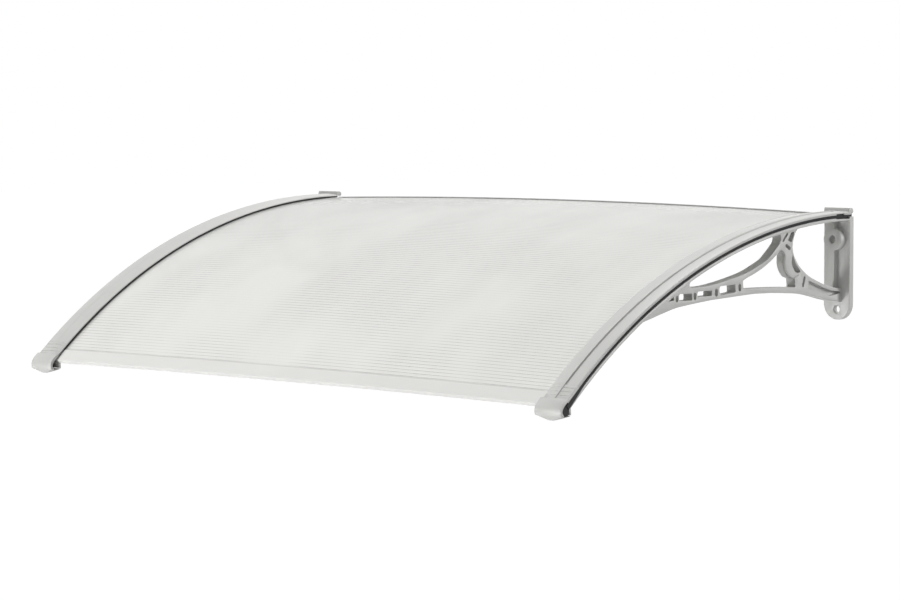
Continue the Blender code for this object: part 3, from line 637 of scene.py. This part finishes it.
def moulded(node, name, radius):
    """A copy of a CAD node with rounded edges."""
    bm = bmesh.new()
    bm.from_mesh(nodes[node].data)
    bmesh.ops.remove_doubles(bm, verts=bm.verts, dist=SAME_POINT)
    bmesh.ops.dissolve_limit(bm, angle_limit=math.radians(FLAT_DEG), verts=bm.verts, edges=bm.edges)
    mesh = bpy.data.meshes.new(name)
    bm.to_mesh(mesh)
    bm.free()
    mesh.materials.clear()
    mesh.materials.append(asa)
    obj = bpy.data.objects.new(name + "_blank", mesh)
    scene.collection.objects.link(obj)
    soft = obj.modifiers.new("soft edges", "BEVEL")
    soft.width = radius
    soft.segments = 2
    soft.limit_method = "ANGLE"
    soft.angle_limit = math.radians(BEVEL_DEG)
    soft.use_clamp_overlap = True
    return settle(obj, name, smooth_deg=32)


for side in sides:
    for kind, (piece, radius) in MOULDINGS.items():
        node = kind + "_" + side
        stands_for(moulded(node, piece + side, radius), node)

# %% [markdown]
# ## Clamp screws
#
# Four screws in each bracket pull the cover strip down on the sheet. Only their heads can be seen, from
# below. All screws are alike, so one is made in Geometry Nodes, with a cross recess cut by a Boolean node,
# and placed on eight points that carry the direction of each screw.

# %% Node tree: screws on points
HEAD_TAPER = 0.97
RECESS_REACH = 1.15
screws = bpy.data.node_groups.new("clamp_screws", "GeometryNodeTree")
screws.interface.new_socket("Geometry", in_out="INPUT", socket_type="NodeSocketGeometry")
sockets(screws, [("Head Radius", 3.3 * MM), ("Head Height", 2.0 * MM), ("Shank Radius", 1.7 * MM),
                 ("Shank Length", 12.5 * MM), ("Recess Depth", 0.9 * MM), ("Recess Width", 0.9 * MM)])
screws.interface.new_socket("Material", in_out="INPUT", socket_type="NodeSocketMaterial")
screws.interface.new_socket("Geometry", in_out="OUTPUT", socket_type="NodeSocketGeometry")
given = add(screws, "NodeGroupInput").outputs
head_top = math_node(screws, "MULTIPLY", given["Head Radius"], HEAD_TAPER)
head = add(screws, "GeometryNodeMeshCone", {"Vertices": 28, "Radius Bottom": given["Head Radius"],
                                            "Radius Top": head_top, "Depth": given["Head Height"]})
shank = add(screws, "GeometryNodeMeshCylinder", {"Vertices": 16, "Radius": given["Shank Radius"],
                                                 "Depth": given["Shank Length"]})
half_shank = math_node(screws, "MULTIPLY", given["Shank Length"], 0.5)
up = add(screws, "ShaderNodeCombineXYZ", {"Z": math_node(screws, "ADD", given["Head Height"], half_shank)})
shank_up = add(screws, "GeometryNodeTransform", {"Geometry": shank.outputs["Mesh"],
                                                 "Translation": up.outputs[0]})
arm = math_node(screws, "MULTIPLY", given["Head Radius"], RECESS_REACH)
deep = math_node(screws, "MULTIPLY", given["Recess Depth"], 2.0)
arm_a = add(screws, "ShaderNodeCombineXYZ", {"X": arm, "Y": given["Recess Width"], "Z": deep})
arm_b = add(screws, "ShaderNodeCombineXYZ", {"X": given["Recess Width"], "Y": arm, "Z": deep})
cross = add(screws, "GeometryNodeMeshBoolean", operation="DIFFERENCE")
screws.links.new(head.outputs["Mesh"], cross.inputs["Mesh 1"])
for size in (arm_a, arm_b):
    cutter = add(screws, "GeometryNodeMeshCube", {"Size": size.outputs[0]})
    screws.links.new(cutter.outputs["Mesh"], cross.inputs["Mesh 2"])
one = add(screws, "GeometryNodeJoinGeometry")
screws.links.new(cross.outputs["Mesh"], one.inputs[0])
screws.links.new(shank_up.outputs[0], one.inputs[0])
aim = add(screws, "GeometryNodeInputNamedAttribute", {"Name": "aim"}, data_type="FLOAT_VECTOR")
turned = add(screws, "FunctionNodeAlignRotationToVector", {"Vector": aim.outputs[0]}, axis="Z")
placed = add(screws, "GeometryNodeInstanceOnPoints", {"Points": given["Geometry"], "Instance": one.outputs[0],
                                                      "Rotation": turned.outputs[0]})
real = add(screws, "GeometryNodeRealizeInstances", {"Geometry": placed.outputs[0]})
plated = add(screws, "GeometryNodeSetMaterial", {"Geometry": real.outputs[0], "Material": given["Material"]})
add(screws, "NodeGroupOutput", {"Geometry": plated.outputs[0]})

# %% Make the screws
SCREW_LIFT = 1.0 * MM
screw_nodes = sorted(n for n in nodes if n.startswith("clamp_screw"))
points = []
aims = []
for name in screw_nodes:
    low, high = box_of(name)
    start, end, bottom = arch_span(name)[:3]
    turn = (start + end) / 2 / ARCH_R
    aim_y, aim_z = -math.sin(turn), math.cos(turn)
    reach = ARCH_R + bottom + SCREW_LIFT
    points.append(((low.x + high.x) / 2, CENTRE_Y + reach * aim_y, CENTRE_Z + reach * aim_z))
    aims.append((0, aim_y, aim_z))
mesh = bpy.data.meshes.new("screw_points")
mesh.from_pydata(points, [], [])
mesh.attributes.new("aim", "FLOAT_VECTOR", "POINT")
for k, aim_vector in enumerate(aims):
    mesh.attributes["aim"].data[k].vector = aim_vector
blank = bpy.data.objects.new("screw_points", mesh)
scene.collection.objects.link(blank)
modifier = blank.modifiers.new("screws", "NODES")
modifier.node_group = screws
modifier[identifier(screws, "Material")] = zinc
stands_for(settle(blank, "clamp_screws", smooth_deg=30), *screw_nodes)

# %% [markdown]
# ## Light, floor and camera
#
# Small goods are photographed in a white tent, with white all round that the glossy sheet mirrors. The key is
# a large softbox above. A fill at the front, a low lamp at the front left and a lamp at the right side lift
# the faces that the key can't reach. The world is white to the camera and in mirrors and weak as a light, so
# that hollows stay dark. The floor lies 2.3 m below, under the low lamp. It looks white to the camera, keeps
# a little of the shadow, and is clear from below, so that the underside can be looked at. The camera looks
# almost level with the canopy, from far off with a long lens, so the perspective is weak.

# %% World and floor
AMBIENT = 0.26
FLOOR_Z = -2.3
FLOOR_HALF = 60
FLOOR_GLOW = 1.15
GLOW_SHARE = 0.85
WHITE = (1, 1, 1, 1)
scene.view_settings.view_transform = "Standard"
world = bpy.data.worlds.new("white_studio")
scene.world = world
world.use_nodes = True
tree = world.node_tree
tree.nodes.clear()
path = add(tree, "ShaderNodeLightPath").outputs
seen = math_node(tree, "MAXIMUM", path["Is Camera Ray"],
                 math_node(tree, "MAXIMUM", path["Is Glossy Ray"], path["Is Transmission Ray"]))
strength = add(tree, "ShaderNodeMapRange", {"Value": seen, "To Min": AMBIENT, "To Max": 1.0})
sky = add(tree, "ShaderNodeBackground", {"Color": WHITE, "Strength": strength.outputs["Result"]})
add(tree, "ShaderNodeOutputWorld", {"Surface": sky.outputs[0]})

floor_mesh = bpy.data.meshes.new("floor")
bm = bmesh.new()
bmesh.ops.create_grid(bm, x_segments=1, y_segments=1, size=FLOOR_HALF)
bmesh.ops.translate(bm, vec=(0, 0, FLOOR_Z), verts=bm.verts)
bm.to_mesh(floor_mesh)
bm.free()
floor = bpy.data.objects.new("floor", floor_mesh)
scene.collection.objects.link(floor)
pale, tree, shader = new_material("pale_floor", Roughness=0.9)
shader.inputs["Base Color"].default_value = linear("#F4F4F4")
glow = add(tree, "ShaderNodeEmission", {"Color": WHITE, "Strength": FLOOR_GLOW})
path = add(tree, "ShaderNodeLightPath").outputs
part_glow = math_node(tree, "MULTIPLY", path["Is Camera Ray"], GLOW_SHARE)
lit = add(tree, "ShaderNodeMixShader", {0: part_glow, 1: shader.outputs[0], 2: glow.outputs[0]})
below = add(tree, "ShaderNodeNewGeometry").outputs["Backfacing"]
clear = add(tree, "ShaderNodeBsdfTransparent")
blend = add(tree, "ShaderNodeMixShader", {0: below, 1: lit.outputs[0], 2: clear.outputs[0]})
tree.links.new(blend.outputs[0], tree.nodes["Material Output"].inputs["Surface"])
floor_mesh.materials.append(pale)

# %% Lamps and camera
MIDDLE = (0, -0.3, -0.1)
UNDERSIDE = (0.2, -0.1, -0.12)
RIGHT_SIDE = (0.3, -0.3, -0.1)
CAMERA_PLACE = (3.9493, -4.2197, 0.2048)
CAMERA_DOWN_DEG = 3.588
CAMERA_TURN_DEG = 45.058
LENS_MM = 139.235
SENSOR_MM = 36


def lamp(name, place, aim, size, power):
    """A square softbox that looks at a point. Its size is in metres and its power in watts."""
    light = bpy.data.lights.new(name, "AREA")
    light.shape = "SQUARE"
    light.size = size
    light.energy = power
    obj = bpy.data.objects.new(name, light)
    obj.location = place
    obj.rotation_euler = (Vector(aim) - Vector(place)).to_track_quat("-Z", "Y").to_euler()
    scene.collection.objects.link(obj)


lamp("key_softbox", (-0.6, 0.9, 3.9), MIDDLE, 2.4, 152)
lamp("fill_softbox", (-0.9, -4.8, 1.3), MIDDLE, 1.4, 50)
lamp("low_softbox", (-1.8, -5.7, -1.7), UNDERSIDE, 1.4, 192)
lamp("side_softbox", (3.8, 1.6, 0.9), RIGHT_SIDE, 1.2, 74)

camera_data = bpy.data.cameras.new("camera")
camera_data.sensor_width = SENSOR_MM
camera_data.lens = LENS_MM
camera = bpy.data.objects.new("camera", camera_data)
camera.location = CAMERA_PLACE
camera.rotation_euler = (math.radians(90 - CAMERA_DOWN_DEG), 0, math.radians(CAMERA_TURN_DEG))
scene.collection.objects.link(camera)
scene.camera = camera
